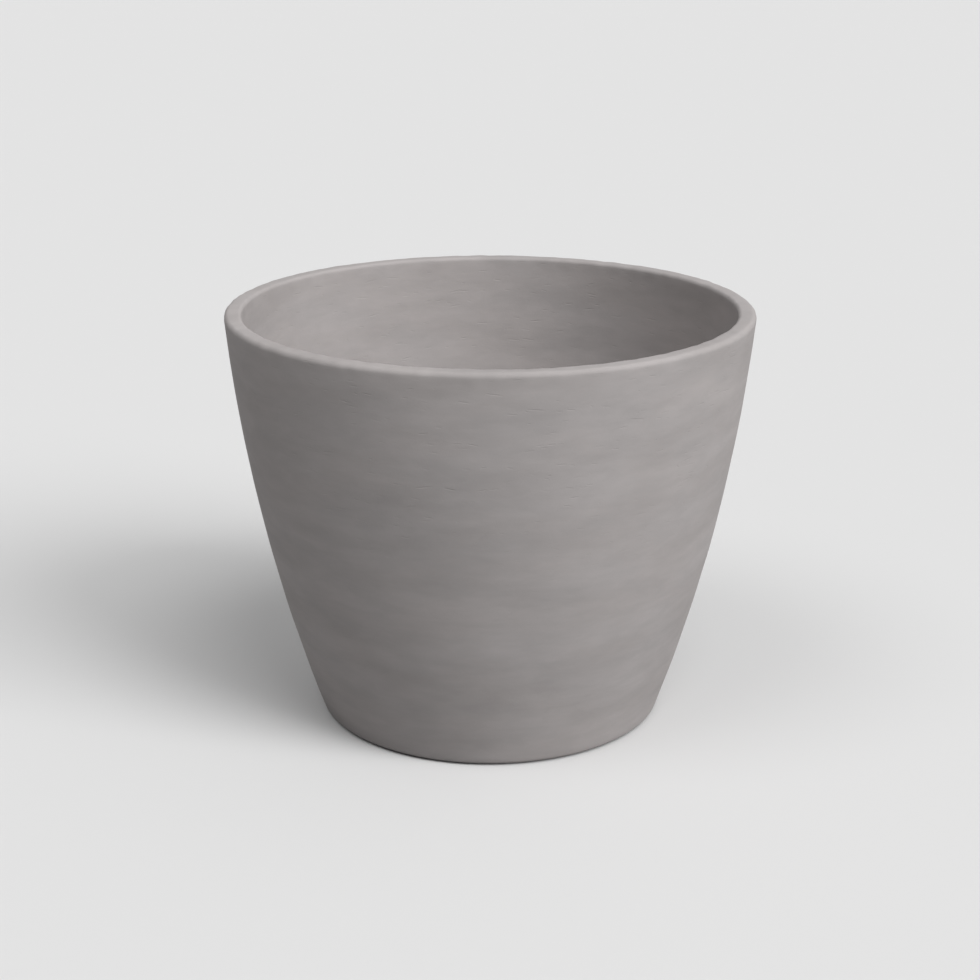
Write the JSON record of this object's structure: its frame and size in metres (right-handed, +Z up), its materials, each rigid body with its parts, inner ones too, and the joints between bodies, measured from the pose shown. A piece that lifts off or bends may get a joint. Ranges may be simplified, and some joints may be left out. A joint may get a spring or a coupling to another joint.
{
  "type": "floor planter",
  "caption": "Round tapering clay planter with a gently bowed wall, a thick rounded rim, an open mouth, and a lift-out rubber stopper in its drain hole.",
  "frame": {"origin": "on the floor, under the middle of the pot", "axes": "+Z up along the pot's axis of revolution; X and Y lie on the floor, midway between the foot pads"},
  "size_m": [0.4, 0.4, 0.3185],
  "materials": {
    "clay": "matte, unglazed, taupe grey, hand-wiped with faint level streaks",
    "plug_rubber": "matte moulded rubber, dark grey",
    "pad_rubber": "matte rubber, near black"
  },
  "bodies": {
    "planter": {"pot_shell": "clay", "foot_pad_1": "pad_rubber", "foot_pad_2": "pad_rubber", "foot_pad_3": "pad_rubber", "foot_pad_4": "pad_rubber"},
    "stopper": {"drain_plug": "plug_rubber"}
  },
  "joints": [
    {"name": "drain_plug_lift", "type": "slide", "parent": "planter", "child": "stopper", "axis": [0, 0, 1], "range_m": [0, 0.32]}
  ]
}
